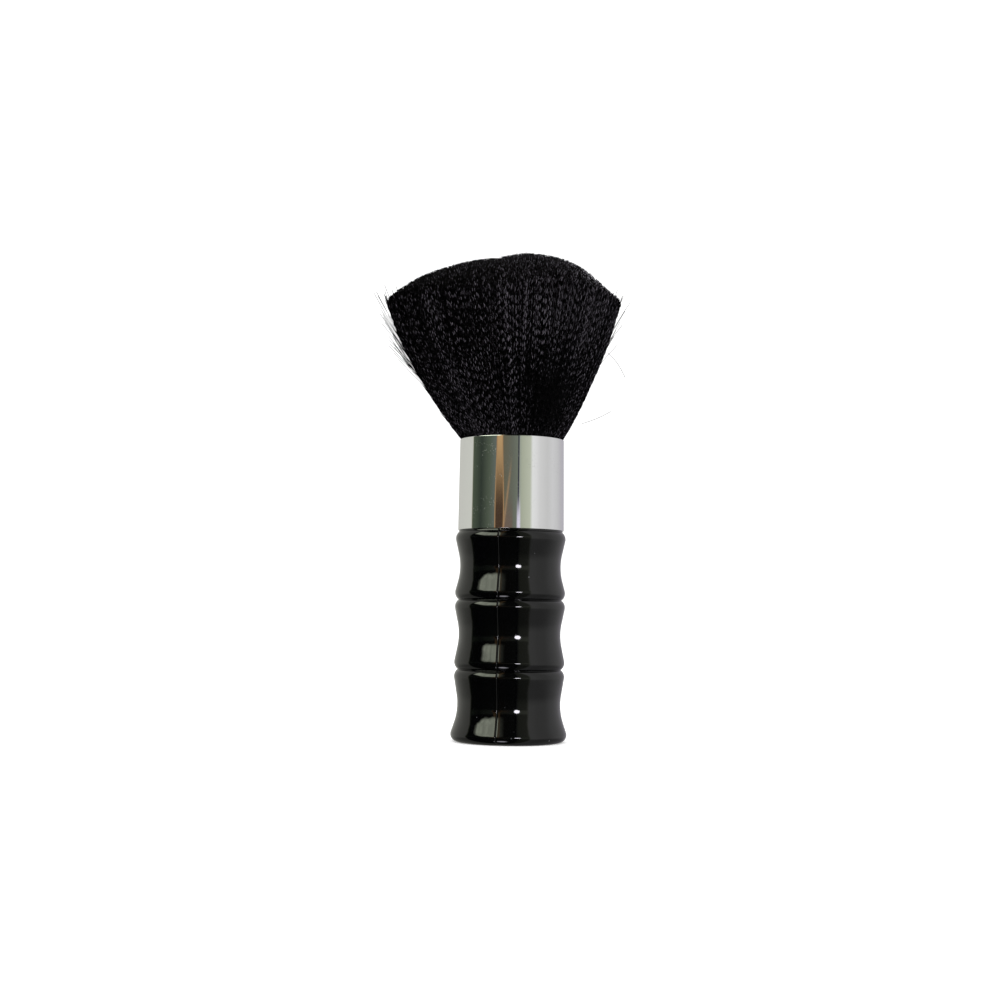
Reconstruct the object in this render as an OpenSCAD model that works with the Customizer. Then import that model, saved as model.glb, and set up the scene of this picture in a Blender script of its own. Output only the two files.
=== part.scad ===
// Neck duster brush: a flared round tuft of crimped filaments, held by a bright metal ferrule
// on a hollow moulded handle that stands on its foot.
// The origin is at the centre of the foot, on the face that it stands on. +Z runs up the brush.

/* [Handle] */
// Height of the ledge that carries the ferrule
ledge_z = 72.85; // [72.5:0.05:78]
// Radius of the foot at its widest
foot_r = 20; // [19.4:0.1:22]
// Rounding of the foot's lower edge
foot_round = 2.6; // [1.5:0.1:3]
// Radius of the swollen ends of each segment
bulge_r = 19.05; // [18.6:0.05:19.6]
// Rounding of the swollen ends
bulge_round = 3.1; // [2.8:0.1:3.6]
// Half the width of the groove between two segments, from its bottom to the swollen end
groove_half_w = 2.45; // [1.8:0.05:2.6]
// Heights of the two grooves, lower one first
groove_z = [24.85, 48.8]; // [20:0.05:54]
// Height of the shoulder, the swollen end under the ferrule
shoulder_z = 69.95; // [69:0.05:70.2]
// Heights of the three waists, lowest first
waist_z = [12.9, 36.85, 60.3]; // [10:0.05:65]
// Radii of the three waists, lowest first
waist_r = [17.8, 17.6, 17.45]; // [17:0.05:18.2]
// Rounding of the waists
waist_round = 20; // [10:1:22]
// Thickness of the shell walls
wall = 2.2; // [1.6:0.1:2.6]
// Angle of the parting plane about the axis, in degrees
seam_turn = 13; // [0:1:45]

/* [Neck] */
// Radius of the ledge under the ferrule
ledge_r = 18; // [17.9:0.05:18.2]
// Height of the neck inside the ferrule
neck_h = 15; // [10:0.5:18]
// Glue gap between the neck and the ferrule
glue_gap = 0.05; // [0.02:0.01:0.1]

/* [Locating posts] */
// Heights of the posts that line up the two shells
post_z = [12.9, 60.3]; // [10:0.1:65]
// Diameter of the posts
post_d = 7; // [6:0.5:9]
// Diameter of the pegs
peg_d = 3.6; // [3:0.1:4.5]
// Length of the pegs beyond the parting plane
peg_len = 4; // [2:0.5:6]
// Clearance round and beyond a peg in its socket
peg_gap = 0.1; // [0.05:0.05:0.3]

/* [Ferrule] */
// Length of the ferrule
ferrule_h = 31.65; // [25:0.05:36]
// Outer radius at the ferrule's lower edge
ferrule_low_r = 18.4; // [18.3:0.05:18.6]
// Outer radius at the ferrule's mouth
ferrule_top_r = 18.1; // [17.9:0.05:18.4]
// Thickness of the metal
ferrule_wall = 0.6; // [0.5:0.05:0.7]
// Radius of the bead rolled round the mouth
bead_r = 0.34; // [0.32:0.02:0.6]

/* [Root] */
// Thickness of the spacer disc on top of the neck
spacer_t = 1.5; // [1:0.1:2]
// Depth of the resin that bonds the filament roots
resin_h = 8; // [5:0.5:9]
// Radius of the plug in the middle of the tuft
plug_r = 8; // [5:0.5:10]
// Height of the plug's domed nose above the resin
plug_nose_h = 4; // [2:0.5:5]

/* [Tuft] */
// Height of the whole brush, to the crown of the tuft
brush_h = 169.6; // [160:0.1:180]
// Height of the trimmed corner round the crown
corner_z = 153; // [145:1:156]
// Radius of the tuft at that corner
corner_r = 41; // [34:0.2:44]
// How far the tuft's side bows out from a straight line
side_bow = 2.2; // [0:0.1:3]

/* [Hidden] */
$fn = 96;
waist_steps = 14;
round_steps = 8;
side_steps = 10;
crown_steps = 14;

last = len(waist_z) - 1;
neck_top_z = ledge_z + neck_h;
spacer_top_z = neck_top_z + spacer_t;
resin_top_z = spacer_top_z + resin_h;
mouth_z = ledge_z + ferrule_h;
floor_t = wall + 0.3;

// Heights of the swollen ends below and above each waist; the foot is the first of them
low_end_z = [foot_round, groove_z[0] + groove_half_w, groove_z[1] + groove_half_w];
high_end_z = [groove_z[0] - groove_half_w, groove_z[1] - groove_half_w, shoulder_z];
low_end_r = [foot_r, bulge_r, bulge_r];
low_end_round = [foot_round, bulge_round, bulge_round];

// Points [radius, height] of an arc about centre c, from angle a to angle b
function arc(c, r, a, b, steps) =
    [for (i = [0:steps]) let (t = a + (b - a) * i / steps) c + r * [cos(t), sin(t)]];

// Slope of the straight flank that is tangent to a swollen end and to a waist.
// run is the height between them and drop the difference of their radii.
function flank_slope(run, drop, end_round) =
    let (rounds = end_round + waist_round, rise = rounds - drop)
    atan2(run, rise) - acos(rounds / norm([run, rise]));

// Where the swollen ends meet in a groove, and where the shoulder meets the ledge
groove_angle = asin(groove_half_w / bulge_round);
ledge_angle = acos(1 - (bulge_r - ledge_r) / bulge_round);

function low_start(i) = i == 0 ? -90 : -groove_angle;
function high_stop(i) = i == last ? ledge_angle : groove_angle;

// Outline of one segment, from its lower end to its upper end
function segment(i) =
    let (
        below = flank_slope(waist_z[i] - low_end_z[i], low_end_r[i] - waist_r[i], low_end_round[i]),
        above = flank_slope(high_end_z[i] - waist_z[i], bulge_r - waist_r[i], bulge_round),
        low_c = [low_end_r[i] - low_end_round[i], low_end_z[i]],
        waist_c = [waist_r[i] + waist_round, waist_z[i]],
        high_c = [bulge_r - bulge_round, high_end_z[i]]
    )
    concat(
        arc(low_c, low_end_round[i], low_start(i), below, round_steps),
        arc(waist_c, waist_round, 180 + below, 180 - above, waist_steps),
        arc(high_c, bulge_round, -above, high_stop(i), round_steps)
    );

handle_outline = [for (i = [0:last]) each segment(i)];

function ferrule_r(z) = ferrule_low_r + (ferrule_top_r - ferrule_low_r) * (z - ledge_z) / ferrule_h;
function bore_r(z) = ferrule_r(z) - ferrule_wall;
function neck_r(z) = bore_r(z) - glue_gap;

// Section of the closed, hollow handle with its neck, on one side of the axis
module handle_section() {
    difference() {
        polygon(concat(
            [[0, 0]],
            handle_outline,
            [
                [ledge_r, ledge_z],
                [neck_r(ledge_z), ledge_z],
                [neck_r(neck_top_z), neck_top_z],
                [0, neck_top_z]
            ]
        ));
        hollow_section();
    }
}

module hollow_section() {
    inner = [for (p = handle_outline) if (p[1] > floor_t && p[1] < shoulder_z) p - [wall, 0]];
    neck_hollow_r = neck_r(neck_top_z) - wall;
    polygon(concat(
        [[0, floor_t], [inner[0][0], floor_t]],
        inner,
        [[neck_hollow_r, ledge_z], [neck_hollow_r, neck_top_z - wall], [0, neck_top_z - wall]]
    ));
}

// Half of the handle, on the +X side of the parting plane before it is turned
module half_shell() {
    rotate([0, 0, -90])
        rotate_extrude(angle = 180)
            handle_section();
}

module post(z, length, d) {
    translate([0, 0, z])
        rotate([0, 90, 0])
            cylinder(h = length, d = d);
}

// A post reaches from the parting plane into the wall at its height
module shell_with_posts() {
    half_shell();
    for (z = post_z)
        post(z, waist_r[last] - wall / 2, post_d);
}

module handle_right_shell() {
    color([0.05, 0.05, 0.055])
        rotate([0, 0, -seam_turn])
            difference() {
                shell_with_posts();
                for (z = post_z)
                    post(z, peg_len + peg_gap, peg_d + 2 * peg_gap);
            }
}

module handle_left_shell() {
    color([0.07, 0.07, 0.075])
        rotate([0, 0, 180 - seam_turn]) {
            shell_with_posts();
            for (z = post_z)
                translate([-peg_len, 0, 0])
                    post(z, peg_len + post_d / 2, peg_d);
        }
}

module ferrule() {
    bead_c = [bore_r(mouth_z) + bead_r, mouth_z - bead_r];
    color([0.8, 0.8, 0.82])
        rotate_extrude() {
            polygon([
                [bore_r(ledge_z), ledge_z],
                [ferrule_r(ledge_z), ledge_z],
                [ferrule_r(bead_c[1]), bead_c[1]],
                [bore_r(bead_c[1]), bead_c[1]]
            ]);
            translate(bead_c)
                circle(bead_r);
        }
}

module ferrule_spacer() {
    color([0.62, 0.55, 0.42])
        translate([0, 0, neck_top_z])
            cylinder(h = spacer_t, r = neck_r(spacer_top_z));
}

// The nose is a spherical cap as wide as the plug
module spreader_plug() {
    nose_r = (pow(plug_r, 2) + pow(plug_nose_h, 2)) / (2 * plug_nose_h);
    color([0.72, 0.56, 0.36]) {
        translate([0, 0, spacer_top_z])
            cylinder(h = resin_h, r = plug_r);
        intersection() {
            translate([0, 0, resin_top_z + plug_nose_h - nose_r])
                sphere(nose_r);
            translate([0, 0, resin_top_z])
                cylinder(h = plug_nose_h + 1, r = plug_r);
        }
    }
}

module root_resin() {
    color([0.75, 0.62, 0.3])
        rotate_extrude()
            polygon([
                [plug_r, spacer_top_z],
                [bore_r(spacer_top_z), spacer_top_z],
                [bore_r(resin_top_z), resin_top_z],
                [plug_r, resin_top_z]
            ]);
}

// Side of the tuft, from the ferrule's mouth to the trimmed corner
function side_point(s) = [
    bore_r(mouth_z) + (corner_r - bore_r(mouth_z)) * s + 4 * side_bow * s * (1 - s),
    mouth_z + (corner_z - mouth_z) * s
];

// The crown is a spherical cap; the plug's nose stands up into the root of the tuft
module bristle_tuft() {
    crown_h = brush_h - corner_z;
    crown_r = (pow(corner_r, 2) + pow(crown_h, 2)) / (2 * crown_h);
    crown_c = [0, brush_h - crown_r];
    corner_angle = atan2(corner_z - crown_c[1], corner_r);
    color([0.03, 0.03, 0.035])
        difference() {
            rotate_extrude()
                polygon(concat(
                    [[0, resin_top_z], [bore_r(resin_top_z), resin_top_z]],
                    [for (i = [0:side_steps - 1]) side_point(i / side_steps)],
                    arc(crown_c, crown_r, corner_angle, 90, crown_steps)
                ));
            spreader_plug();
        }
}

handle_left_shell();
handle_right_shell();
ferrule();
ferrule_spacer();
root_resin();
spreader_plug();
bristle_tuft();
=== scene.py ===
"""Looks of the neck duster brush: the camera, the studio, and the pieces that stand for the CAD nodes.

Lengths in this file are in millimetres and angles in degrees, unless a name says otherwise.
An azimuth is 0 towards the camera, -90 to its left and 90 to its right.
"""

import math

import bmesh
import bpy
import numpy as np
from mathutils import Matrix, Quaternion, Vector
from mathutils.geometry import tessellate_polygon


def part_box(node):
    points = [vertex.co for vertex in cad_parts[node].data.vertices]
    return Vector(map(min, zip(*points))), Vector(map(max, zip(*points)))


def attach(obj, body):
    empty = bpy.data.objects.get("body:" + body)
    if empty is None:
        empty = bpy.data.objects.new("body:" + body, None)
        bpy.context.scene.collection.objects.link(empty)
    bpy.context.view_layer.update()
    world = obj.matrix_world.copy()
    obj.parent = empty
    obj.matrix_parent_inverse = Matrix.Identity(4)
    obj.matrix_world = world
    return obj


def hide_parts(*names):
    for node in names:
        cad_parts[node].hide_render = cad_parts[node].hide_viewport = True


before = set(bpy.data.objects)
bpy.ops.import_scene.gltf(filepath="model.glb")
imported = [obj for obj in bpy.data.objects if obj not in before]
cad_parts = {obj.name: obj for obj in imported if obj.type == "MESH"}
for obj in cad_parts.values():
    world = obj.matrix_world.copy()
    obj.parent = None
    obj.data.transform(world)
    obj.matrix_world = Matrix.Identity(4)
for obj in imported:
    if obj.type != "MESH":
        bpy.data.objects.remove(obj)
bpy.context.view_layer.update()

MM = 0.001
BODY = "root"
WELD_WITHIN = 0.001
# The flat ends of a turned mesh take up this much less of the texture space than the rest.
CAP_SHRINK = 10
# A strand's strip of the texture space, and the points for its two cut ends, as shares of its cell.
STRIP_LEFT, STRIP_WIDTH = 0.1, 0.8
STRIP_FOOT, STRIP_HEIGHT = 0.05, 0.9
CUT_END_AT = (0.02, 0.98)

# Camera
CAMERA_AT = (-3.96, -550, 45.1)
CAMERA_PITCH = 4.0
CAMERA_ROLL = 0.75
CAMERA_LENS = 56.92
SENSOR_WIDTH = 36
CLIP_START = 10

# Handle
SEAM_AZIMUTH = -13
SEAM_R = 18
SEAM_ROUND_WIDTH = 0.34
SEAM_ROUND_DEPTH = 0.22
SEAM_MISMATCH = 0.06
# Distances from the seam at which the surface has points, so that its rounded edges stay round.
SEAM_POINTS = (0, 0.03, 0.06, 0.10, 0.16, 0.25, 0.45)
HALF_TURN_STEPS = 96
SHELL_WALL = 2.2
FLOOR_RISE = 0.3
# The shell's outside is what is wider than OUTSIDE_R, and no more than OUTSIDE_DEPTH below the widest
# point that is nearer than OUTSIDE_NEAR in height.
OUTSIDE_R = 17.2
OUTSIDE_NEAR = 0.6
OUTSIDE_DEPTH = 1.5
# How far the hollow stays from the foot and from the ledge that the ferrule rests on.
HOLLOW_FROM_FOOT = 4
HOLLOW_FROM_LEDGE = 3
CORNER_TURN = 30
CURVE_STEPS = 3

# Ferrule
FOOT_EDGE = 0.12
# The points of the bevel round the foot: inwards and upwards, as shares of FOOT_EDGE.
BEVEL = ((1, 0), (0.3, 0.3), (0, 0.7))
# Shares of the wall's height that have points. They are close together at its ends, which keeps it flat.
WALL_SHARES = (0.004, 0.006, *np.linspace(0.01, 0.98, 24), 0.99, 0.995)
LIP_STEPS = 9
FERRULE_TURNS = 256

# Tuft
SIDE_STRANDS = 4200
SIDE_PIECES = 20
SIDE_RINGS = 134
TIP_STRANDS = 19200
TIP_PIECES = 8
TIP_RINGS = 10
TIP_LENGTH = 7
# The side strands fill the tuft outside this share of its radius, and the tips and the core the inside.
INNER_SHARE = 0.93
STRAND_R = 0.13
END_TAPER = 0.8
BUNDLE = 3
CRIMP_OUT = (0.16, 0.32)
CRIMP_ASIDE = (0.10, 0.24)
CRIMP_WAVE = (2.5, 4.2)
CRIMP_SPREAD_RADIANS = 0.8
# Every strand ends beyond the crown by ABOVE_CROWN, less a random length that is SHORTFALL on average.
ABOVE_CROWN = 0.15
SHORTFALL = 0.7
# Side strands crowd towards the outside: 1 would spread them evenly.
SIDE_CROWDING = 1.5
STARTS_BELOW_MOUTH = 0.5
# How far side strands are from the rest of their bundle: in azimuth, in share of the radius, in drift.
SIDE_AZIMUTH_SPREAD = 0.3
SIDE_SHARE_SPREAD = 0.004
SIDE_DRIFT_SPREAD = 0.2
# How far bundles of side strands drift round the tuft as they climb. They also sway round the tuft
# and in and out, by a sine that goes through this many radians in the climb.
SIDE_DRIFT = 1.2
SWAY_ROUND, SWAY_ROUND_RADIANS = 0.5, (4, 9)
SWAY_SHARE, SWAY_SHARE_RADIANS = 0.006, 7
# The crimp grows to its full size over one part in this many of the climb.
CRIMP_GROWTH = 12
TIP_SPREAD = 0.2
TIP_DRIFT = 1.5
SIDE_SEED, TIP_SEED, STRAY_SEED = 11, 23, 5
LEAN = -3.65
LEAN_POWER = 1.5
CROWN_TRIES = 8
CORE_DROP = 2.5
CORE_TURNS = 128
CORE_SIDE_STEPS = 40
CORE_CROWN_STEPS = 30
# The crown's left side is cut shorter. Part of the cut comes at a step, and the rest more slowly.
# Places are shares of the tuft's radius, to the right of its middle.
LEFT_CUT = 1.9
CUT_AT_STEP, STEP_FROM_TO = 0.4, (0.01, -0.04)
CUT_SLOWLY, SLOW_FROM_TO = 0.6, (0.2, 0.0)
CUT_FADES_BY, FADE_FROM_TO = 0.6, (0.4, 0.9)
RIGHT_RISE = 1.8
RISE_FROM_TO = (0.0, 0.6)
FALL_FROM_TO = (0.92, 0.6)
STRAY_R = 0.09
STRAY_RINGS = 24
STRAY_CURVE = 1.3
STRAY_START = 0.99
# Groups of stray hairs: how many, azimuths, heights where they leave the side, lengths, distances away.
STRAYS = (
    (22, (-106, -74), (120, 137), (12, 22), (1.2, 5.0)),
    (8, (78, 102), (128, 140), (10, 18), (1.0, 5.0)),
    (20, (-100, -80), (106, 122), (5, 12), (0.3, 1.5)),
    (16, (-104, -76), (116, 126), (12, 20), (2.5, 6.0)),
    (40, (-118, -62), (139, 144), (10, 14), (0.1, 1.1)),
    (30, (66, 114), (139, 144), (10, 14), (0.1, 0.9)),
    (24, (110, 250), (118, 142), (8, 20), (0.5, 3.0)),
)
# Curled hairs, each by the points where it starts, towards which it bends, and where it ends.
CURLED_HAIRS = (
    ((33.0, 0, 136), (36.8, 0, 133), (39.4, 0, 127)),
    ((24.0, -6, 110), (29.5, -6, 111.6), (34.0, -6, 114.4)),
)
# Stray hairs get no painted crest glints.
NO_CREST = -1.0
# The level of the painted crest glints before SHINE raises or lowers it.
SHINE_LEVEL = 0.62
# Painted sheen and shade: where the painted glints on the strands' crests are raised or lowered in their
# colour: azimuth, height, reach in each, and change.
SHINE = (
    (25, 146, 46, 17, 0.48),
    (75, 146, 28, 18, 0.3),
    (10, 165, 60, 8, 0.3),
    (-15, 111, 26, 12, 0.15),
    (32, 117, 20, 13, -0.6),
    (-22, 142, 7, 11, -0.22),
    (-75, 140, 30, 30, -0.12),
    (125, 160, 38, 10, -0.7),
)


# ---------------------------------------------------------------- meshes

def smooth(value, start, end):
    """Rises smoothly from 0 to 1 as value goes from start to end."""
    share = np.clip((value - start) / (end - start), 0, 1)
    return share * share * (3 - 2 * share)


def rings(node):
    """Heights of a CAD node's points, with the smallest and largest radius at each."""
    points = np.array([v.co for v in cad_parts[node].data.vertices]) / MM
    radius = np.hypot(points[:, 0], points[:, 1])
    height = np.round(points[:, 2], 3)
    heights = np.unique(height)
    low = np.array([radius[height == z].min() for z in heights])
    high = np.array([radius[height == z].max() for z in heights])
    return heights, low, high


def new_mesh(name, points, quads, triangles, uv=None):
    """A smooth mesh from arrays: points, faces of four and three corners, and a uv for each corner."""
    triangles = np.asarray(triangles, int).reshape(-1, 3)
    corners = np.concatenate([quads.ravel(), triangles.ravel()])
    quad_starts = np.arange(len(quads)) * 4
    triangle_starts = quads.size + np.arange(len(triangles)) * 3
    starts = np.concatenate([quad_starts, triangle_starts])
    mesh = bpy.data.meshes.new(name)
    mesh.vertices.add(len(points))
    mesh.vertices.foreach_set("co", (points * MM).astype(np.float32).ravel())
    mesh.loops.add(len(corners))
    mesh.loops.foreach_set("vertex_index", corners.astype(np.int32))
    mesh.polygons.add(len(starts))
    mesh.polygons.foreach_set("loop_start", starts.astype(np.int32))
    mesh.update(calc_edges=True)
    if uv is not None:
        layer = mesh.uv_layers.new(name="OFBake")
        layer.uv.foreach_set("vector", uv.astype(np.float32).ravel())
    mesh.shade_smooth()
    return mesh


def flatten_ends(mesh, ends):
    """The last faces of a strand mesh are its cut ends: flat, and with the second material."""
    count = len(mesh.polygons)
    is_end = np.arange(count) >= count - ends
    mesh.polygons.foreach_set("use_smooth", ~is_end)
    mesh.polygons.foreach_set("material_index", is_end.astype(np.int32))


def weld(mesh):
    """Joins points that lie on each other, such as the turned points on the axis."""
    work = bmesh.new()
    work.from_mesh(mesh)
    bmesh.ops.remove_doubles(work, verts=work.verts, dist=WELD_WITHIN * MM)
    bmesh.ops.recalc_face_normals(work, faces=work.faces)
    work.to_mesh(mesh)
    work.free()
    return mesh


def add_piece(mesh, materials, node):
    """A piece of the object: it rides on the one body and stands for a CAD node."""
    piece = bpy.data.objects.new(mesh.name, mesh)
    bpy.context.scene.collection.objects.link(piece)
    for material in materials:
        mesh.materials.append(material)
    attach(piece, BODY)
    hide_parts(node)
    return piece


def turned(name, outline, azimuths, closed, radius_change=None):
    """Turns a closed outline of (radius, height) through the azimuths. An open turn gets flat ends."""
    outline = np.asarray(outline, float)
    turns, steps = len(azimuths), len(outline)
    angle = np.radians(azimuths)[:, None]
    radius = np.repeat(outline[None, :, 0], turns, 0)
    if radius_change is not None:
        radius = radius + radius_change
    height = np.repeat(outline[None, :, 1], turns, 0)
    points = np.stack([radius * np.sin(angle), -radius * np.cos(angle), height], 2).reshape(-1, 3)
    spans = turns if closed else turns - 1
    i, j = np.meshgrid(np.arange(spans), np.arange(steps), indexing="ij")
    i, j = i.ravel(), j.ravel()
    i_next, j_next = (i + 1) % turns, (j + 1) % steps
    here, there = i * steps, i_next * steps
    quads = np.stack([here + j, there + j, there + j_next, here + j_next], 1)
    u = np.stack([i, i + 1, i + 1, i], 1) / spans
    v = np.stack([j, j, j + 1, j + 1], 1) / steps
    uv = np.stack([u, v], 2).reshape(-1, 2)
    ends = []
    if not closed:
        flat = [Vector((r, z, 0)) for r, z in outline]
        cap = np.array(tessellate_polygon([flat]))
        ends = np.concatenate([cap, cap[:, ::-1] + (turns - 1) * steps])
        cap_uv = outline[ends.ravel() % steps] / (CAP_SHRINK * outline.max())
        uv = np.concatenate([uv, cap_uv])
    return new_mesh(name, points, quads, ends, uv)


def smooth_line(points, steps):
    """A smooth curve through the points, broken where they turn sharply."""
    points = np.asarray(points, float)
    step = np.diff(points, axis=0)
    heading = np.degrees(np.arctan2(step[:, 1], step[:, 0]))
    turn = np.abs((np.diff(heading) + 180) % 360 - 180)
    breaks = [0, *(np.flatnonzero(turn > CORNER_TURN) + 1), len(points) - 1]
    t = (np.arange(steps) / steps)[:, None]
    out = []
    for first, last in zip(breaks, breaks[1:]):
        part = points[first:last + 1]
        before = np.vstack([2 * part[0] - part[1], part[:-1]])
        after = np.vstack([part[1:], 2 * part[-1] - part[-2]])
        for k in range(len(part) - 1):
            a, b = part[k], part[k + 1]
            reach = np.linalg.norm(b - a)
            out_a = (after[k] - before[k]) / np.linalg.norm(after[k] - before[k]) * reach
            in_b = (after[k + 1] - before[k + 1]) / np.linalg.norm(after[k + 1] - before[k + 1]) * reach
            out.append(a * (2 * t**3 - 3 * t**2 + 1) + b * (3 * t**2 - 2 * t**3)
                       + out_a * (t**3 - 2 * t**2 + t) + in_b * (t**3 - t**2))
    return np.vstack([*out, points[-1:]])


# ---------------------------------------------------------------- shader helpers

class Tree:
    """Short calls for making shader nodes. A value is a number, a colour or another node's output."""

    def __init__(self, owner):
        owner.use_nodes = True
        self.nodes = owner.node_tree.nodes
        self.links = owner.node_tree.links
        self.nodes.clear()

    def node(self, kind, **settings):
        made = self.nodes.new(kind)
        for name, value in settings.items():
            setattr(made, name, value)
        return made

    def put(self, socket, value):
        if isinstance(value, bpy.types.NodeSocket):
            self.links.new(value, socket)
        elif value is not None:
            socket.default_value = value

    def math(self, operation, a, b=None, c=None):
        made = self.node("ShaderNodeMath", operation=operation)
        for socket, value in zip(made.inputs, (a, b, c)):
            self.put(socket, value)
        return made.outputs[0]

    def product(self, value, *others):
        for other in others:
            value = self.math("MULTIPLY", value, other)
        return value

    def step(self, value, start, end, low=0.0, high=1.0):
        """Rises smoothly from low to high as value goes from start to end."""
        made = self.node("ShaderNodeMapRange", interpolation_type="SMOOTHSTEP")
        for socket, number in zip(made.inputs, (value, start, end, low, high)):
            self.put(socket, number)
        return made.outputs[0]

    def mix(self, share, a, b, blend="MIX"):
        made = self.node("ShaderNodeMix", data_type="RGBA", blend_type=blend)
        self.put(made.inputs["Factor"], share)
        self.put(made.inputs[6], a)
        self.put(made.inputs[7], b)
        return made.outputs[2]

    def ramp(self, value, stops, interpolation="LINEAR"):
        made = self.node("ShaderNodeValToRGB")
        self.put(made.inputs[0], value)
        ramp = made.color_ramp
        ramp.interpolation = interpolation
        while len(ramp.elements) < len(stops):
            ramp.elements.new(1.0)
        for element, (place, colour) in zip(ramp.elements, stops):
            element.position = place
            element.color = colour
        return made.outputs[0]

    def noise(self, where, scale, detail=2.0, roughness=0.5):
        made = self.node("ShaderNodeTexNoise")
        self.put(made.inputs["Vector"], where)
        self.put(made.inputs["Scale"], scale)
        self.put(made.inputs["Detail"], detail)
        self.put(made.inputs["Roughness"], roughness)
        return made.outputs[0]

    def cells(self, where, scale):
        made = self.node("ShaderNodeTexVoronoi")
        self.put(made.inputs["Vector"], where)
        self.put(made.inputs["Scale"], scale)
        return made.outputs["Distance"]

    def place(self, stretch=(1, 1, 1)):
        """A point of the object in metres, stretched."""
        coordinates = self.node("ShaderNodeTexCoord")
        made = self.node("ShaderNodeMapping")
        self.put(made.inputs["Vector"], coordinates.outputs["Object"])
        self.put(made.inputs["Scale"], stretch)
        return made.outputs[0]

    def attribute(self, name):
        return self.node("ShaderNodeAttribute", attribute_name=name).outputs["Fac"]

    def light(self, colour, level):
        made = self.node("ShaderNodeBackground")
        self.put(made.inputs["Color"], colour)
        self.put(made.inputs["Strength"], level)
        return made.outputs[0]

    def blend(self, share, a, b):
        """A mix of two shaders."""
        made = self.node("ShaderNodeMixShader")
        for socket, value in zip(made.inputs, (share, a, b)):
            self.put(socket, value)
        return made.outputs[0]

    def bump(self, height, strength, distance):
        made = self.node("ShaderNodeBump")
        self.put(made.inputs["Height"], height)
        self.put(made.inputs["Strength"], strength)
        self.put(made.inputs["Distance"], distance)
        return made.outputs[0]


def surface(name, build):
    """A material with one Principled shader, whose sockets take what build(tree) returns."""
    material = bpy.data.materials.new(name)
    tree = Tree(material)
    shader = tree.node("ShaderNodeBsdfPrincipled")
    for socket, value in build(tree).items():
        tree.put(shader.inputs[socket], value)
    output = tree.node("ShaderNodeOutputMaterial")
    tree.put(output.inputs["Surface"], shader.outputs[0])
    return material


# ---------------------------------------------------------------- camera, studio

def make_camera():
    data = bpy.data.cameras.new("camera")
    data.lens = CAMERA_LENS
    data.sensor_width = SENSOR_WIDTH
    data.clip_start = CLIP_START * MM
    camera = bpy.data.objects.new("camera", data)
    bpy.context.scene.collection.objects.link(camera)
    camera.location = Vector(CAMERA_AT) * MM
    camera.rotation_mode = "QUATERNION"
    pitch = math.radians(CAMERA_PITCH)
    looking = Vector((0, math.cos(pitch), math.sin(pitch))).to_track_quat("-Z", "Y")
    roll = Vector((0, 0, 1))
    camera.rotation_quaternion = looking @ Quaternion(roll, math.radians(CAMERA_ROLL))
    bpy.context.scene.camera = camera


# The mirrored room all round: azimuth, and the colour there. A fade below is given by where it
# starts, where it ends, and the values at both.
SURROUNDINGS = (
    (-180, (0.54, 0.54, 0.50)),
    (-98, (0.60, 0.61, 0.55)),
    (-96, (0.60, 0.61, 0.55)),
    (-95, (0.24, 0.24, 0.16)),
    (-93, (0.07, 0.09, 0.06)),
    (-70, (0.03, 0.04, 0.03)),
    (-50, (0.08, 0.10, 0.07)),
    (-36, (0.12, 0.14, 0.12)),
    (-18, (0.13, 0.12, 0.08)),
    (0, (0.13, 0.14, 0.11)),
    (13.2, (0.16, 0.18, 0.14)),
    (14.0, (0.02, 0.02, 0.04)),
    (15.6, (0.02, 0.02, 0.04)),
    (16.8, (0.32, 0.35, 0.29)),
    (22, (0.40, 0.43, 0.33)),
    (41, (0.50, 0.53, 0.42)),
    (46, (0.78, 0.79, 0.77)),
    (56, (0.74, 0.74, 0.73)),
    (64, (0.66, 0.66, 0.65)),
    (85, (0.59, 0.59, 0.58)),
    (102, (0.64, 0.64, 0.64)),
    (120, (0.58, 0.58, 0.58)),
    (135, (0.51, 0.50, 0.52)),
    (158, (0.46, 0.44, 0.49)),
    (180, (0.54, 0.54, 0.50)),
)
BLACK = (0, 0, 0, 1)
WHITE = (1, 1, 1, 1)
WHITE_LEVEL = 1.25
DIMMER_BELOW = (-25.0, -4.0, 0.45, 1.0)

# The dark side: where it starts, weakens and ends in azimuth, and how black it is below and above
# its middle.
DARK_STARTS = (-94.0, -90.0, 0.0, 1.0)
DARK_WEAKENS = (15.0, 22.0, 1.0, 0.65)
DARK_ENDS = (39.0, 45.0, 1.0, 0.0)
BLACK_BELOW = (0.0, 3.6, 0.8, 0.0)
BLACK_ABOVE = (7.8, 11.0, 0.0, 0.8)

# The wooden post: the elevations between which it changes, and its edges' azimuths at both.
POST_CHANGES = (4.6, 7.6)
POST_LEFT = (-37.5, -34.5)
POST_RIGHT = (-15.5, -19.5)
POST_FOOT = (1.0, 3.0)
POST_RIM = (1.5, 3.5)
POST_LOW = (0.06, 0.036, 0.022, 1)
POST_HIGH = (0.50, 0.32, 0.15, 1)
POST_RIM_COLOUR = (0.38, 0.23, 0.11, 1)

# The slanting slat: its azimuth at elevation 0, what that gains with each degree, and the shade
# behind it.
SLAT_AT = -44.1
SLAT_SLANT = 6.6
SLAT_ACROSS = (0.8, 2.6, 1.0, 0.0)
SLAT_TOP = (5.4, 6.9, 0.75, 0.0)
SLAT_FOOT = (2.0, 3.5)
SLAT_COLOUR = (0.40, 0.25, 0.13, 1)
SHADE_ENDS = (0.0, 5.0, 1.0, 0.0)
SHADE_TOP = (4.0, 5.6, 0.6, 0.0)
SHADE_COLOUR = (0.17, 0.10, 0.08, 1)

# The pale glint beside the dark line.
GLINT_AT = 15.5
GLINT_ACROSS = (1.5, 5.5, 1.0, 0.0)
GLINT_TOP = (4.3, 5.3, 0.9, 0.0)
GLINT_FOOT = (3.0, 3.8)
GLINT_COLOUR = (0.80, 0.76, 0.90, 1)

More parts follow.
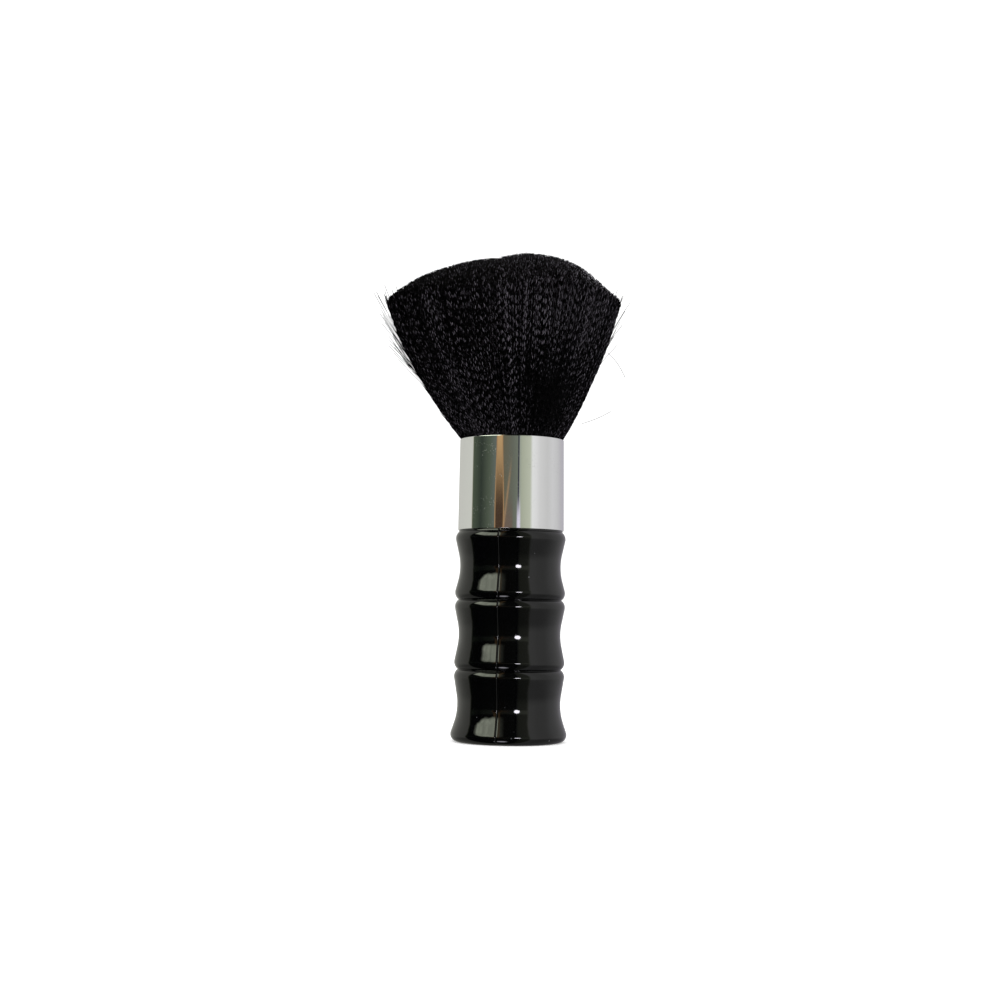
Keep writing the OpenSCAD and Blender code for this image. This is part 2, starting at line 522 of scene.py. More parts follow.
# The window: its sides in azimuth, its ragged lower edge and its top.
WINDOW = (0.93, 1.0, 0.80, 1)
WINDOW_LEVEL = 4.6
WINDOW_LEFT = (-91.0, -86.0)
WINDOW_WEAKENS = (-30.0, -26.0, 1.0, 0.08)
WINDOW_RIGHT = (-20.0, -9.0, 1.0, 0.0)
WINDOW_LOWER_EDGE = (-92.0, -50.0, 27.0, 13.5)
WINDOW_RAGGED = 5.0
WINDOW_SOFT = 6.0
WINDOW_TOP = (46.0, 54.0, 1.0, 0.0)
WINDOW_CLOUDS = (0.3, 0.7, 0.7, 1.0)

LOW_LIGHT = (-18, -50)
LOW_LIGHT_ACROSS = (0.08, 0.20, 1.0, 0.0)
LOW_COLOUR = (0.93, 0.90, 1.0, 1)
LOW_LEVEL = 5

LIGHT_DISTANCE = 1500
LAMP_COLOUR = (0.95, 0.92, 1.0)
LAMP_AT = (17.5, 2.4)
LAMP_ACROSS = (13, 6)
LAMP_LEVEL = 26
LAMP_AIM = (0, 0, 60)
# The tuft's lights: azimuth, elevation and brightness of each.
TUFT_LIGHTS = (
    (15, 5, 20),
    (5, -45, 14),
    (80, 0, 8),
    (-130, 15, 10),
    (150, 10, 10),
)
TUFT_LIGHT_ACROSS = (16, 16)
TUFT_AIM = (0, 0, 130)
FLOOR_HALF = 6000


def add_darkness(tree, room, azimuth, elevation):
    """Blackens the dark side of the room below and above its middle."""
    side = tree.product(tree.step(azimuth, *DARK_STARTS), tree.step(azimuth, *DARK_WEAKENS),
                        tree.step(azimuth, *DARK_ENDS))
    far = tree.math("MAXIMUM", tree.step(elevation, *BLACK_BELOW), tree.step(elevation, *BLACK_ABOVE))
    return tree.mix(tree.product(side, far), room, BLACK)


def add_post(tree, room, azimuth, elevation):
    """A warm wooden post with paler rims, which is darker low down."""
    left = tree.math("SUBTRACT", azimuth, tree.step(elevation, *POST_CHANGES, *POST_LEFT))
    right = tree.math("SUBTRACT", azimuth, tree.step(elevation, *POST_CHANGES, *POST_RIGHT))
    post = tree.product(tree.step(left, 0.0, 1.0), tree.step(right, -1.0, 0.0, 1.0, 0.0),
                        tree.step(elevation, *POST_FOOT))
    near, far = POST_RIM
    rim = tree.math("MAXIMUM", tree.step(left, near, far, 1.0, 0.0), tree.step(right, -far, -near))
    face = tree.mix(tree.step(elevation, *POST_CHANGES), POST_LOW, POST_HIGH)
    return tree.mix(post, room, tree.mix(rim, face, POST_RIM_COLOUR))


def add_slat(tree, room, azimuth, elevation):
    """A thin slanting slat, with a brown shade to its right."""
    aside = tree.math("SUBTRACT", azimuth, tree.math("MULTIPLY_ADD", elevation, SLAT_SLANT, SLAT_AT))
    foot = tree.step(elevation, *SLAT_FOOT)
    shade = tree.product(tree.step(aside, 0.0, 1.0), tree.step(azimuth, *SHADE_ENDS),
                         tree.step(elevation, *SHADE_TOP), foot)
    slat = tree.product(tree.step(tree.math("ABSOLUTE", aside), *SLAT_ACROSS),
                        tree.step(elevation, *SLAT_TOP), foot)
    return tree.mix(slat, tree.mix(shade, room, SHADE_COLOUR), SLAT_COLOUR)


def add_glint(tree, room, azimuth, elevation):
    """A pale glint beside the room's dark line."""
    aside = tree.math("ABSOLUTE", tree.math("SUBTRACT", azimuth, GLINT_AT))
    glint = tree.product(tree.step(aside, *GLINT_ACROSS), tree.step(elevation, *GLINT_TOP),
                         tree.step(elevation, *GLINT_FOOT))
    return tree.mix(glint, room, GLINT_COLOUR)


def window_share(tree, towards, azimuth, elevation):
    """How much of the window shows in each direction: it is a hill with a soft, ragged lower edge."""
    change = tree.math("SUBTRACT", tree.noise(towards, 9.0, 3.0), 0.5)
    ragged = tree.math("MULTIPLY", change, WINDOW_RAGGED)
    edge = tree.step(azimuth, *WINDOW_LOWER_EDGE)
    height = tree.math("SUBTRACT", tree.math("ADD", elevation, ragged), edge)
    return tree.product(
        tree.step(height, 0.0, WINDOW_SOFT),
        tree.step(azimuth, *WINDOW_LEFT),
        tree.step(azimuth, *WINDOW_WEAKENS),
        tree.step(azimuth, *WINDOW_RIGHT),
        tree.step(elevation, *WINDOW_TOP),
        tree.step(tree.noise(towards, 6.0), *WINDOW_CLOUDS),
    )


def low_light_share(tree, towards):
    """How much of the small low light shows in each direction."""
    away = tree.node("ShaderNodeVectorMath", operation="DISTANCE")
    tree.put(away.inputs[0], towards)
    tree.put(away.inputs[1], direction(*LOW_LIGHT))
    return tree.step(away.outputs["Value"], *LOW_LIGHT_ACROSS)


def make_surroundings():
    """What the gloss mirrors: a pale room, a dark side with a high window in it, and warm wooden edges.
    The camera itself sees plain white, and soft light comes evenly from everywhere."""
    world = bpy.data.worlds.new("studio")
    bpy.context.scene.world = world
    tree = Tree(world)
    towards = tree.node("ShaderNodeTexCoord").outputs["Generated"]
    split = tree.node("ShaderNodeSeparateXYZ")
    tree.put(split.inputs[0], towards)
    x, y, z = split.outputs
    azimuth = tree.math("DEGREES", tree.math("ARCTAN2", x, tree.math("MULTIPLY", y, -1.0)))
    elevation = tree.math("DEGREES", tree.math("ARCSINE", z))

    around = tree.math("MULTIPLY_ADD", azimuth, 1 / 360, 0.5)
    room = tree.ramp(around, [(stop / 360 + 0.5, (*colour, 1)) for stop, colour in SURROUNDINGS])
    for add in (add_darkness, add_post, add_slat, add_glint):
        room = add(tree, room, azimuth, elevation)

    room_light = tree.light(room, tree.step(elevation, *DIMMER_BELOW))
    window_light = tree.light(WINDOW, WINDOW_LEVEL)
    mirrored = tree.blend(window_share(tree, towards, azimuth, elevation), room_light, window_light)
    mirrored = tree.blend(low_light_share(tree, towards), mirrored, tree.light(LOW_COLOUR, LOW_LEVEL))
    is_glossy = tree.node("ShaderNodeLightPath").outputs["Is Glossy Ray"]
    seen = tree.blend(is_glossy, tree.light(WHITE, WHITE_LEVEL), mirrored)
    output = tree.node("ShaderNodeOutputWorld")
    tree.put(output.inputs["Surface"], seen)


def direction(azimuth, elevation):
    """The direction at an azimuth and elevation, as seen from the object."""
    azimuth, elevation = math.radians(azimuth), math.radians(elevation)
    return Vector((math.sin(azimuth) * math.cos(elevation),
                   -math.cos(azimuth) * math.cos(elevation), math.sin(elevation)))


def make_light(name, azimuth, elevation, across, level, aim):
    """An oval light at LIGHT_DISTANCE. across is how wide and high it looks, and level how bright."""
    data = bpy.data.lights.new(name, "AREA")
    data.shape = "ELLIPSE"
    wide, high = (math.tan(math.radians(angle / 2)) for angle in across)
    data.size = 2 * LIGHT_DISTANCE * MM * wide
    data.size_y = 2 * LIGHT_DISTANCE * MM * high
    data.energy = level * math.pi * math.pi * data.size * data.size_y / 4
    data.color = LAMP_COLOUR
    light = bpy.data.objects.new(name, data)
    bpy.context.scene.collection.objects.link(light)
    towards = direction(azimuth, elevation)
    light.location = (towards * LIGHT_DISTANCE + Vector(aim)) * MM
    light.rotation_mode = "QUATERNION"
    light.rotation_quaternion = towards.to_track_quat("Z", "Y")
    return light


def light_only(light, pieces):
    """Lets the light fall on these pieces and no others."""
    group = bpy.data.collections.new(light.name + "_falls_on")
    for piece in pieces:
        group.objects.link(piece)
    light.light_linking.receiver_collection = group


def light_tuft(strands):
    """Soft lights that only the strands take up, so that their waves show from every side."""
    for number, (azimuth, elevation, level) in enumerate(TUFT_LIGHTS, 1):
        name = f"tuft_light_{number}"
        light_only(make_light(name, azimuth, elevation, TUFT_LIGHT_ACROSS, level, TUFT_AIM), strands)


def make_floor():
    """The pale ground under the brush, which glossy pieces don't mirror."""
    points = FLOOR_HALF * np.array([(-1.0, -1.0, 0), (1, -1, 0), (1, 1, 0), (-1, 1, 0)])
    mesh = new_mesh("floor", points, np.array([[0, 1, 2, 3]]), [])
    floor = bpy.data.objects.new("floor", mesh)
    bpy.context.scene.collection.objects.link(floor)
    floor.visible_glossy = False
    floor.visible_shadow = False

    def build(tree):
        grain = tree.noise(tree.place(), 3.0)
        return {
            "Base Color": tree.ramp(grain, [(0, (0.90, 0.90, 0.90, 1)), (1, (0.92, 0.92, 0.92, 1))]),
            "Roughness": 1.0,
            "Specular IOR Level": 0.0,
            "Emission Color": (1, 1, 1, 1),
            "Emission Strength": 0.35,
        }

    mesh.materials.append(surface("pale_floor", build))


# ---------------------------------------------------------------- materials

GLOSS_BLACK = (0.0003, 0.0003, 0.0004, 1)
DUST = (0.12, 0.12, 0.13, 1)
CHROME = (0.90, 0.90, 0.91, 1)
DULL_CHROME = (0.70, 0.70, 0.70, 1)
STRAND_BLACK = (0.0002, 0.0002, 0.0002, 1)
# The pale grey of the glints painted on the strands' crests.
PAINTED_GLINT = (0.085, 0.078, 0.090, 1)


def gloss_plastic(tree):
    """Moulded black plastic: slightly uneven, with fine scratches and a few specks of dust."""
    scratches = tree.noise(tree.place((9000, 9000, 500)), 1.0, 3.0)
    dust = tree.cells(tree.place(), 260.0)
    patch = tree.noise(tree.place(), 90.0)
    peel = tree.noise(tree.place(), 900.0)
    ripple = tree.math("MULTIPLY_ADD", peel, 0.07, tree.noise(tree.place(), 120.0, 1.0))
    speck = tree.product(tree.step(dust, 0.03, 0.06, 1.0, 0.0), tree.step(patch, 0.50, 0.60))
    return {
        "Base Color": tree.mix(speck, GLOSS_BLACK, DUST),
        "Roughness": tree.step(scratches, 0.62, 0.8, 0.05, 0.14),
        "IOR": 1.5,
        "Normal": tree.bump(ripple, 0.25, 0.0004),
    }


def mirror_metal(tree):
    """Polished metal with faint drawing lines and dull specks in patches."""
    lines = tree.noise(tree.place((60000, 60000, 300)), 1.0, 2.0)
    dust = tree.cells(tree.place(), 2000.0)
    patch = tree.noise(tree.place(), 160.0, 3.0)
    speck = tree.product(tree.step(dust, 0.10, 0.30, 1.0, 0.0), tree.step(patch, 0.48, 0.68))
    drawn = tree.step(lines, 0.4, 0.8, 0.03, 0.06)
    return {
        "Base Color": tree.mix(speck, CHROME, DULL_CHROME),
        "Metallic": 1.0,
        "Roughness": tree.math("ADD", drawn, tree.product(speck, 0.35)),
    }


def strand_plastic(tree):
    """Black filaments with painted glints: their crests are painted paler, more on some strands than
    others.
    """
    tone = tree.attribute("tone")
    # The crest attribute is a mask of painted glints, raised or lowered by region as painted sheen and
    # shade.
    crest = tree.step(tree.attribute("crest"), -0.15, 0.7)
    return {
        "Base Color": tree.mix(tree.product(crest, tree.math("POWER", tone, 2.0)), STRAND_BLACK, PAINTED_GLINT),
        "Roughness": tree.step(tone, 0.0, 1.0, 0.14, 0.22),
        "IOR": 1.5,
        "Specular IOR Level": 0.04,
    }


def cut_ends(tree):
    """The filaments' cut ends, which are dull."""
    fibres = tree.noise(tree.place(), 4000.0)
    tones = [(0.3, (0.001, 0.001, 0.001, 1)), (0.7, (0.006, 0.006, 0.004, 1))]
    return {
        "Base Color": tree.ramp(fibres, tones),
        "Roughness": 1.0,
        "Specular IOR Level": 0.1,
    }


def core_plastic(tree):
    """The near black that shows between the filaments."""
    lines = tree.noise(tree.place((3000, 3000, 150)), 1.0, 2.0)
    tones = [(0.3, (0.0001, 0.0001, 0.0001, 1)), (0.8, (0.0004, 0.0004, 0.0005, 1))]
    return {
        "Base Color": tree.ramp(lines, tones),
        "Roughness": 0.9,
        "Specular IOR Level": 0.02,
    }


def board(tree):
    """Brown board with coarse fibres."""
    fibres = tree.noise(tree.place((400, 400, 2500)), 1.0, 4.0)
    return {
        "Base Color": tree.ramp(fibres, [(0.3, (0.30, 0.23, 0.14, 1)), (0.7, (0.42, 0.33, 0.22, 1))]),
        "Roughness": 0.85,
        "Normal": tree.bump(fibres, 0.3, 0.0002),
    }


def set_resin(tree):
    """Dark, slightly cloudy resin."""
    cloud = tree.noise(tree.place(), 260.0, 3.0)
    return {
        "Base Color": tree.ramp(cloud, [(0.3, (0.03, 0.02, 0.012, 1)), (0.7, (0.06, 0.04, 0.022, 1))]),
        "Roughness": 0.3,
        "Normal": tree.bump(cloud, 0.2, 0.0002),
    }


def turned_wood(tree):
    """Pale wood with its grain along the axis."""
    grain = tree.noise(tree.place((900, 900, 90)), 1.0, 4.0)
    return {
        "Base Color": tree.ramp(grain, [(0.35, (0.42, 0.26, 0.13, 1)), (0.7, (0.60, 0.42, 0.24, 1))]),
        "Roughness": 0.6,
        "Normal": tree.bump(grain, 0.25, 0.0001),
    }


# ---------------------------------------------------------------- handle

def half_azimuths(start):
    """Azimuths of half a turn, close together beside the parting seam."""
    near = np.degrees(np.array(SEAM_POINTS) / SEAM_R)
    step = 180 / HALF_TURN_STEPS
    middle = np.arange(step, 180 - step / 2, step)
    return start + np.concatenate([near, middle, 180 - near[::-1]])


def outside_points(node):
    """The (radius, height) points of a shell's outside, without those of its hollow."""
    heights, _, high = rings(node)
    widest = [high[np.abs(heights - z) < OUTSIDE_NEAR].max() for z in heights]
    return [(r, z) for z, r, most in zip(heights, high, widest)
            if r > OUTSIDE_R and most - r < OUTSIDE_DEPTH]


def handle_outline():
    """The handle's half section: its body, the neck that the ferrule covers, and the plain hollow."""
    outside = outside_points("handle_left_shell")
    ledge_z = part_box("ferrule")[0].z / MM
    body = [point for point in outside if point[1] <= ledge_z]
    neck = [point for point in outside if point[1] > ledge_z]
    neck_r, top = neck[0][0], neck[-1][1]
    inner_r, inner_top = neck_r - SHELL_WALL, top - SHELL_WALL
    hollow = [(r - SHELL_WALL, z) for r, z in body
              if HOLLOW_FROM_FOOT < z < ledge_z - HOLLOW_FROM_LEDGE][::2]
    floor_z = SHELL_WALL + FLOOR_RISE
    outline = [
        (0, 0), *smooth_line(body, CURVE_STEPS), (neck_r, ledge_z), neck[-1], (0, top),
        (0, inner_top), (inner_r, inner_top), (inner_r, ledge_z),
        *hollow[::-1], (hollow[0][0], floor_z), (0, floor_z),
    ]
    return np.array(outline, float)


def make_handle(material):
    """The two shells. Their edges are rounded along the seam, and the left one stands out a little."""
    outline = handle_outline()
    on_outside = outline[:, 0] > OUTSIDE_R
    for side, start, grow in (("left", SEAM_AZIMUTH - 180, SEAM_MISMATCH), ("right", SEAM_AZIMUTH, 0)):
        azimuths = half_azimuths(start)
        edge = np.minimum(azimuths - azimuths[0], azimuths[-1] - azimuths)
        distance = np.radians(edge) * SEAM_R
        sunk = -SEAM_ROUND_DEPTH * np.clip(1 - distance / SEAM_ROUND_WIDTH, 0, 1) ** 2
        change = (sunk[:, None] + grow) * on_outside[None, :]
        mesh = weld(turned(f"handle_{side}", outline, azimuths, False, change))
        yield add_piece(mesh, [material], f"handle_{side}_shell")


# ---------------------------------------------------------------- ferrule

def make_ferrule(material):
    """The tapered tube, with a rounded mouth and a small bevel round its foot."""
    heights, low, high = rings("ferrule")
    foot_z, mouth_z = heights[0], heights[-1]
    foot_out, foot_in = high[0], low[0]
    bore = low.min()
    wall = foot_out - foot_in
    mouth_out = bore + wall
    corner_r = wall / 3
    corner_z = mouth_z - corner_r
    turn = np.radians(np.linspace(0, 90, LIP_STEPS))
    lip = [(mouth_out - corner_r + corner_r * math.cos(a), corner_z + corner_r * math.sin(a))
           for a in turn]
    lip += [(bore + corner_r - corner_r * math.sin(a), corner_z + corner_r * math.cos(a)) for a in turn]
    rise = [(foot_out + (mouth_out - foot_out) * share, foot_z + (lip[0][1] - foot_z) * share)
            for share in WALL_SHARES]
    bevel = [(foot_out - FOOT_EDGE * inwards, foot_z + FOOT_EDGE * upwards)
             for inwards, upwards in BEVEL]
    outline = [*bevel, *rise, *lip, (foot_in, foot_z + FOOT_EDGE), (foot_in + FOOT_EDGE, foot_z)]
    azimuths = np.arange(FERRULE_TURNS) * 360 / FERRULE_TURNS
    mesh = weld(turned("ferrule_tube", outline, azimuths, True))
    add_piece(mesh, [material], "ferrule")


# ---------------------------------------------------------------- tuft

class TuftShape:
    """The tuft's side and crown, read from its CAD node, with the lean that the real one has."""

    def __init__(self):
        heights, _, high = rings("bristle_tuft")
        widest = high.argmax()
        self.root_z = heights[0]
        self.mouth_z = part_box("ferrule")[1].z / MM
        self.corner_z, self.corner_r = heights[widest], high[widest]
        self.side = (heights[:widest + 1], high[:widest + 1])
        self.slope = (high[widest] - high[widest - 2]) / (heights[widest] - heights[widest - 2])
        self.crown = (high[:widest - 1:-1], heights[:widest - 1:-1])
        self.top_z = heights[-1]

    def radius(self, z):
        """Radius of the outermost strand at height z, carried on straight above the corner."""
        beyond = np.maximum(z - self.corner_z, 0) * self.slope
        return np.interp(z, *self.side) + beyond

    def crown_z(self, radius, azimuth):
        """Height of the crown. Its left side is cut shorter than the right, and its right side rises."""
        aside = radius * np.sin(azimuth) / self.corner_r
        cut = CUT_AT_STEP * smooth(aside, *STEP_FROM_TO) + CUT_SLOWLY * smooth(aside, *SLOW_FROM_TO)
        left = LEFT_CUT * cut * (1 - CUT_FADES_BY * smooth(-aside, *FADE_FROM_TO))
        right = RIGHT_RISE * smooth(aside, *RISE_FROM_TO) * smooth(aside, *FALL_FROM_TO)
        return np.interp(radius, *self.crown) - left + right

    def end_z(self, share, azimuth):
        """Height where a strand at this share of the radius meets the crown."""
        z = np.full_like(share, self.corner_z)
        for _ in range(CROWN_TRIES):
            z = self.crown_z(share * self.radius(z), azimuth)
        return z

    def lean(self, z):
        above = np.clip((z - self.mouth_z) / (self.corner_z - self.mouth_z), 0, 1)
        return LEAN * (1 - (1 - above) ** LEAN_POWER)


def strand_mesh(name, centres, radius, tone, crest):
    """Closed three-sided strands. centres is strands x rings x 3. radius and crest have a value for
    each ring, and tone has one for each strand."""
    count, steps, _ = centres.shape
    along = centres[:, -1] - centres[:, 0]
    along = along / np.linalg.norm(along, axis=1)[:, None]
    across = np.cross(along, (0.31, 0.17, 0.93))
    across = across / np.linalg.norm(across, axis=1)[:, None]
    other = np.cross(along, across)
    corner = np.radians((0, 120, 240))
    ring = (np.cos(corner)[None, :, None] * across[:, None]
            + np.sin(corner)[None, :, None] * other[:, None])
    points = centres[:, :, None] + ring[:, None] * radius[:, :, None, None]
    points = points.reshape(-1, 3)
    strand, step, side = np.meshgrid(np.arange(count), np.arange(steps - 1), np.arange(3), indexing="ij")
    base = (strand * steps + step) * 3
    turn = (side + 1) % 3
    quads = np.stack([base + side, base + turn, base + 3 + turn, base + 3 + side], 3).reshape(-1, 4)
    start = np.arange(count) * steps * 3
    last = start + (steps - 1) * 3
    triangles = np.concatenate([start[:, None] + (2, 1, 0), last[:, None] + (0, 1, 2)])

    columns = math.ceil(math.sqrt(count * 3))
    rows = math.ceil(count / columns)
    cell_x, cell_y = 1 / columns, 1 / rows
    column = (strand % columns).reshape(-1)
    row = (strand // columns).reshape(-1)
    left = (column + STRIP_LEFT + STRIP_WIDTH * side.reshape(-1) / 3) * cell_x
    right = left + STRIP_WIDTH / 3 * cell_x
    low = (row + STRIP_FOOT + STRIP_HEIGHT * step.reshape(-1) / (steps - 1)) * cell_y
    high = low + STRIP_HEIGHT / (steps - 1) * cell_y
    quad_uv = np.stack([np.stack([left, low], 1), np.stack([right, low], 1),
                        np.stack([right, high], 1), np.stack([left, high], 1)], 1)
    ends = np.arange(count)
    end_x = (ends % columns + 0.5) * cell_x
    end_uv = [np.stack([end_x, (ends // columns + at) * cell_y], 1) for at in CUT_END_AT]
    uv = np.concatenate([quad_uv.reshape(-1, 2), *(np.repeat(points_uv, 3, 0) for points_uv in end_uv)])

    mesh = new_mesh(name, points, quads, triangles, uv)
    tones = mesh.attributes.new("tone", "FLOAT", "POINT")
    tones.data.foreach_set("value", np.repeat(tone, steps * 3).astype(np.float32))
    crests = mesh.attributes.new("crest", "FLOAT", "POINT")
    crests.data.foreach_set("value", np.repeat(crest.reshape(-1), 3).astype(np.float32))
    flatten_ends(mesh, 2 * count)
    return mesh


def crimp(centres, azimuth, rng, strength):
    """Waves each strand in and out of the tuft, and less from side to side. Also gives the crests, which
    are 1 where both waves are at their highest and -1 where both are at their lowest."""
    count, steps, _ = centres.shape
    length = np.linalg.norm(np.diff(centres, axis=1), axis=2).cumsum(1)
    length = np.concatenate([np.zeros((count, 1)), length], 1)
    level = np.zeros(count)
    crest = np.zeros((count, steps))
    outwards = np.stack([np.sin(azimuth), -np.cos(azimuth), level], 1)
    sideways = np.stack([np.cos(azimuth), np.sin(azimuth), level], 1)
    bundles = count // BUNDLE
    for way, size in ((outwards, CRIMP_OUT), (sideways, CRIMP_ASIDE)):
        wave = shared(rng.uniform(*CRIMP_WAVE, bundles))
        phase = shared(rng.uniform(0, 2 * math.pi, bundles)) + rng.normal(0, CRIMP_SPREAD_RADIANS, count)
        reach = shared(rng.uniform(*size, bundles))
        swing = np.sin(2 * math.pi * length / wave[:, None] + phase[:, None])
        crest += swing / 2
        centres = centres + (swing * reach[:, None] * strength)[:, :, None] * way[:, None]
    return centres, crest


def shine(crest, azimuth, z):
    """Paints sheen and shade: lowers the crests' painted glints where the tuft looks darker, and raises
    them where it looks lighter.
    """
    level = np.full(z.shape, SHINE_LEVEL)
    for middle, height, azimuth_reach, height_reach, change in SHINE:
        aside = (np.degrees(azimuth)[:, None] - middle + 180) % 360 - 180
        level += change * np.exp(-(aside / azimuth_reach) ** 2 - ((z - height) / height_reach) ** 2)
    return crest - 1 + np.maximum(level, 0)


def shared(values):
    """Gives each value to every strand of a bundle: neighbours are crimped together."""
    return np.repeat(values, BUNDLE, axis=0)


def strand_lines(shape, share, azimuth, z):
    """Centre lines of strands at a share of the tuft's radius; azimuth and z have one value a ring."""
    radius = share * shape.radius(z)
    x = radius * np.sin(azimuth) + shape.lean(z)
    y = -radius * np.cos(azimuth)
    return np.stack([x, y, z], 2)


def strand_end(shape, share, azimuth, rng):
    """Heights where strands end: near the crown, and some of them short of it."""
    return shape.end_z(share, azimuth) + ABOVE_CROWN - rng.exponential(SHORTFALL, len(share))


def add_strands(name, lines, azimuth, z, crest, materials, rng):
    """A piece of strands along their centre lines, each slightly narrower at its cut end."""
    radius = np.full(z.shape, STRAND_R)
    radius[:, -1] *= END_TAPER
    tone = rng.uniform(0, 1, len(lines))
    mesh = strand_mesh(name, lines, radius, tone, shine(crest, azimuth, z))
    return add_piece(mesh, materials, "bristle_tuft")


def add_hairs(name, lines, radius, materials):
    """A piece of thin, plain hairs along their centre lines."""
    count, steps, _ = lines.shape
    radii, crest = np.full((count, steps), radius), np.full((count, steps), NO_CREST)
    mesh = strand_mesh(name, lines, radii, np.zeros(count), crest)
    return add_piece(mesh, materials, "bristle_tuft")


def make_side_strands(shape, materials, rng):
    """The long strands of the tuft's outside, one piece for each sector."""
    count = SIDE_STRANDS // SIDE_PIECES
    bundles = count // BUNDLE
    sector = 2 * math.pi / SIDE_PIECES
    for piece in range(SIDE_PIECES):
        azimuth = (piece + shared(rng.uniform(0, 1, bundles))) * sector
        azimuth = azimuth + np.radians(rng.normal(0, SIDE_AZIMUTH_SPREAD, count))
        share = shared(1 - (1 - INNER_SHARE) * rng.uniform(0, 1, bundles) ** SIDE_CROWDING)
        share = share + rng.normal(0, SIDE_SHARE_SPREAD, count)
        end = strand_end(shape, share, azimuth, rng)
        climb = np.concatenate([[0], np.linspace(0, 1, SIDE_RINGS - 1)])
        start = np.full(count, shape.mouth_z - STARTS_BELOW_MOUTH)
        z = start[:, None] + (end - start)[:, None] * climb
        z[:, 0] = shape.root_z
        drift = shared(rng.normal(0, SIDE_DRIFT, bundles)) + rng.normal(0, SIDE_DRIFT_SPREAD, count)
        phase = climb * shared(rng.uniform(*SWAY_ROUND_RADIANS, bundles))[:, None]
        sway = np.radians(shared(rng.normal(0, SWAY_ROUND, bundles)))[:, None] * np.sin(phase)
        azimuths = azimuth[:, None] + np.radians(drift)[:, None] * climb + sway
        sway = shared(rng.normal(0, SWAY_SHARE, bundles))[:, None]
        shares = share[:, None] + sway * np.sin(climb * SWAY_SHARE_RADIANS)
        lines = strand_lines(shape, shares, azimuths, z)
        lines, crest = crimp(lines, azimuth, rng, np.clip(climb * CRIMP_GROWTH, 0, 1))
        name = f"tuft_side_{piece + 1:02d}"
        yield add_strands(name, lines, azimuth, z, crest, materials, rng)


def make_tip_strands(shape, materials, rng):
    """The tips that fill the crown inside the side strands, one piece for each sector."""
    count = TIP_STRANDS // TIP_PIECES
    bundles = count // BUNDLE
    sector = 2 * math.pi / TIP_PIECES
    for piece in range(TIP_PIECES):
        azimuth = (piece + shared(rng.uniform(0, 1, bundles))) * sector
        share = shared(INNER_SHARE * np.sqrt(rng.uniform(0, 1, bundles)))
        azimuth = azimuth + rng.normal(0, TIP_SPREAD, count) / (share * shape.corner_r)
        share = share + rng.normal(0, TIP_SPREAD, count) / shape.corner_r
        end = strand_end(shape, share, azimuth, rng)
        climb = np.linspace(0, 1, TIP_RINGS)
        z = end[:, None] - TIP_LENGTH * (1 - climb)
        drift = np.radians(rng.normal(0, TIP_DRIFT, count))
        azimuths = azimuth[:, None] + drift[:, None] * climb
        lines = strand_lines(shape, share[:, None] * np.ones(TIP_RINGS), azimuths, z)
        lines, crest = crimp(lines, azimuth, rng, 1.0)
        name = f"tuft_tips_{piece + 1:02d}"
        yield add_strands(name, lines, azimuth, z, crest, materials, rng)


def stray_lines(shape, azimuth, start_z, end_z, away):
    """Hairs that leave the side at start_z and stand away from it at end_z."""
    climb = np.linspace(0, 1, STRAY_RINGS)
    z = start_z[:, None] + (end_z - start_z)[:, None] * climb
    share = STRAY_START + (away[:, None] * climb ** STRAY_CURVE) / shape.radius(z)
    return strand_lines(shape, share, azimuth[:, None], z)


def make_strays(shape, materials, rng):
    """Hairs that stand away from the tuft: a piece for each group, and one for each curled hair."""
    for number, (count, azimuths, starts, lengths, reaches) in enumerate(STRAYS, 1):
        azimuth = np.radians(rng.uniform(*azimuths, count))
        start_z = rng.uniform(*starts, count)
        end_z = start_z + rng.uniform(*lengths, count)
        away = rng.uniform(*reaches, count)
        lines = stray_lines(shape, azimuth, start_z, end_z, away)
        yield add_hairs(f"tuft_strays_{number}", lines, STRAY_R, materials)
    for number, points in enumerate(CURLED_HAIRS, 1):
        line = smooth_curl(points, STRAY_RINGS)
        yield add_hairs(f"tuft_curl_{number}", line[None], STRAY_R, materials)


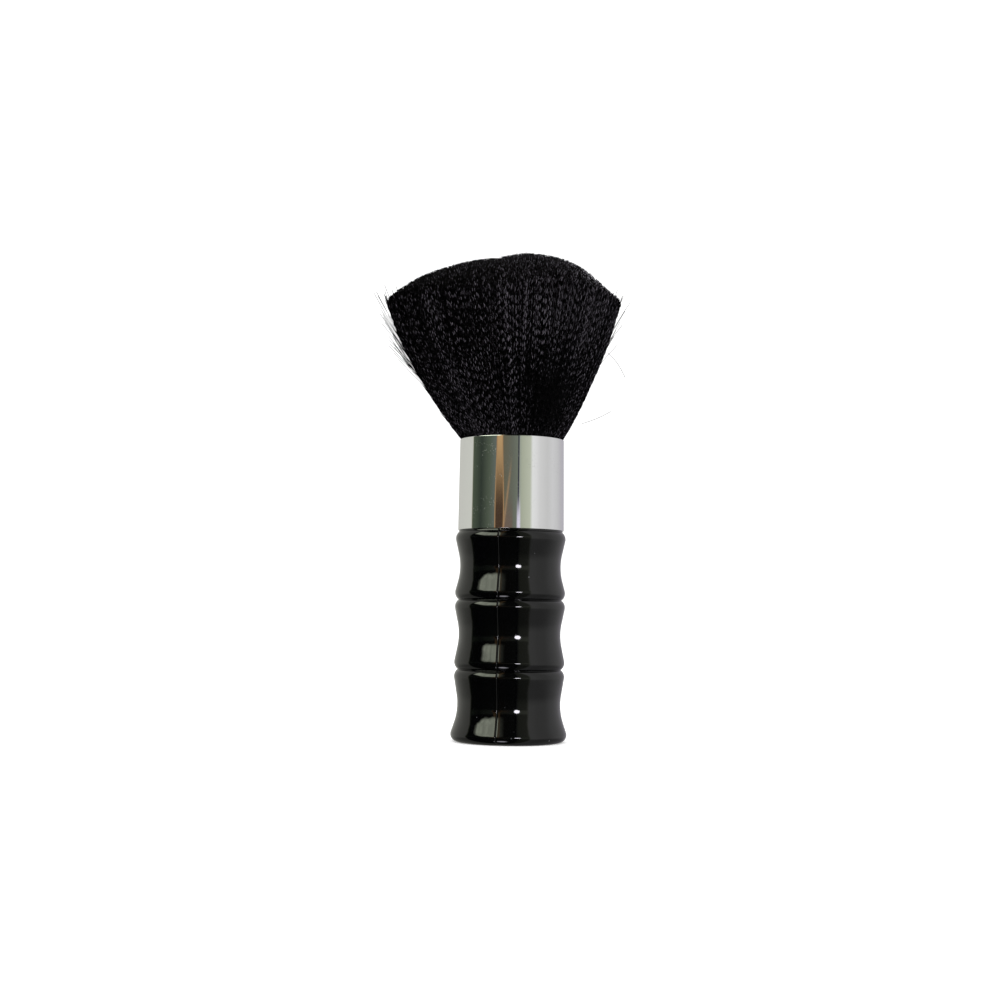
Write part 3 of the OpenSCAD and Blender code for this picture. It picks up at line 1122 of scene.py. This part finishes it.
def smooth_curl(points, steps):
    """The even curve that starts at the first point, bends towards the second and ends at the third."""
    first, second, third = np.asarray(points, float)
    t = np.linspace(0, 1, steps)[:, None]
    return first * (1 - t) ** 2 + second * 2 * t * (1 - t) + third * t ** 2


def make_core(shape, material):
    """The dark middle of the tuft, which closes the gaps between strands."""
    length = shape.corner_z - shape.root_z
    side = [(shape.radius(z) * INNER_SHARE, z - CORE_DROP * (z - shape.root_z) / length)
            for z in np.linspace(shape.root_z, shape.corner_z, CORE_SIDE_STEPS)]
    leftmost = -math.pi / 2
    crown = [(r, shape.crown_z(r, leftmost) - CORE_DROP)
             for r in np.linspace(side[-1][0], 0, CORE_CROWN_STEPS)[1:]]
    outline = [(0, shape.root_z), *side, *crown]
    mesh = turned("tuft_core", outline, np.arange(CORE_TURNS) * 360 / CORE_TURNS, True)
    points = np.zeros(len(mesh.vertices) * 3, np.float32)
    mesh.vertices.foreach_get("co", points)
    points = points.reshape(-1, 3).astype(float) / MM
    points[:, 0] += shape.lean(points[:, 2])
    mesh.vertices.foreach_set("co", (points * MM).astype(np.float32).ravel())
    add_piece(weld(mesh), [material], "bristle_tuft")


# ---------------------------------------------------------------- the scene

bpy.context.scene.view_settings.view_transform = "Standard"
make_camera()
make_surroundings()
make_floor()

shells = list(make_handle(surface("gloss_plastic", gloss_plastic)))
light_only(make_light("lamp", *LAMP_AT, LAMP_ACROSS, LAMP_LEVEL, LAMP_AIM), shells)
make_ferrule(surface("mirror_metal", mirror_metal))
tuft_shape = TuftShape()
strands = [surface("strand_plastic", strand_plastic), surface("cut_ends", cut_ends)]
make_core(tuft_shape, surface("core_plastic", core_plastic))
light_tuft([
    *make_side_strands(tuft_shape, strands, np.random.default_rng(SIDE_SEED)),
    *make_tip_strands(tuft_shape, strands, np.random.default_rng(TIP_SEED)),
    *make_strays(tuft_shape, strands, np.random.default_rng(STRAY_SEED)),
])

INSIDE = (("ferrule_spacer", board), ("root_resin", set_resin), ("spreader_plug", turned_wood))
for node, build in INSIDE:
    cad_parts[node].data.materials.clear()
    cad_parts[node].data.materials.append(surface(node + "_look", build))
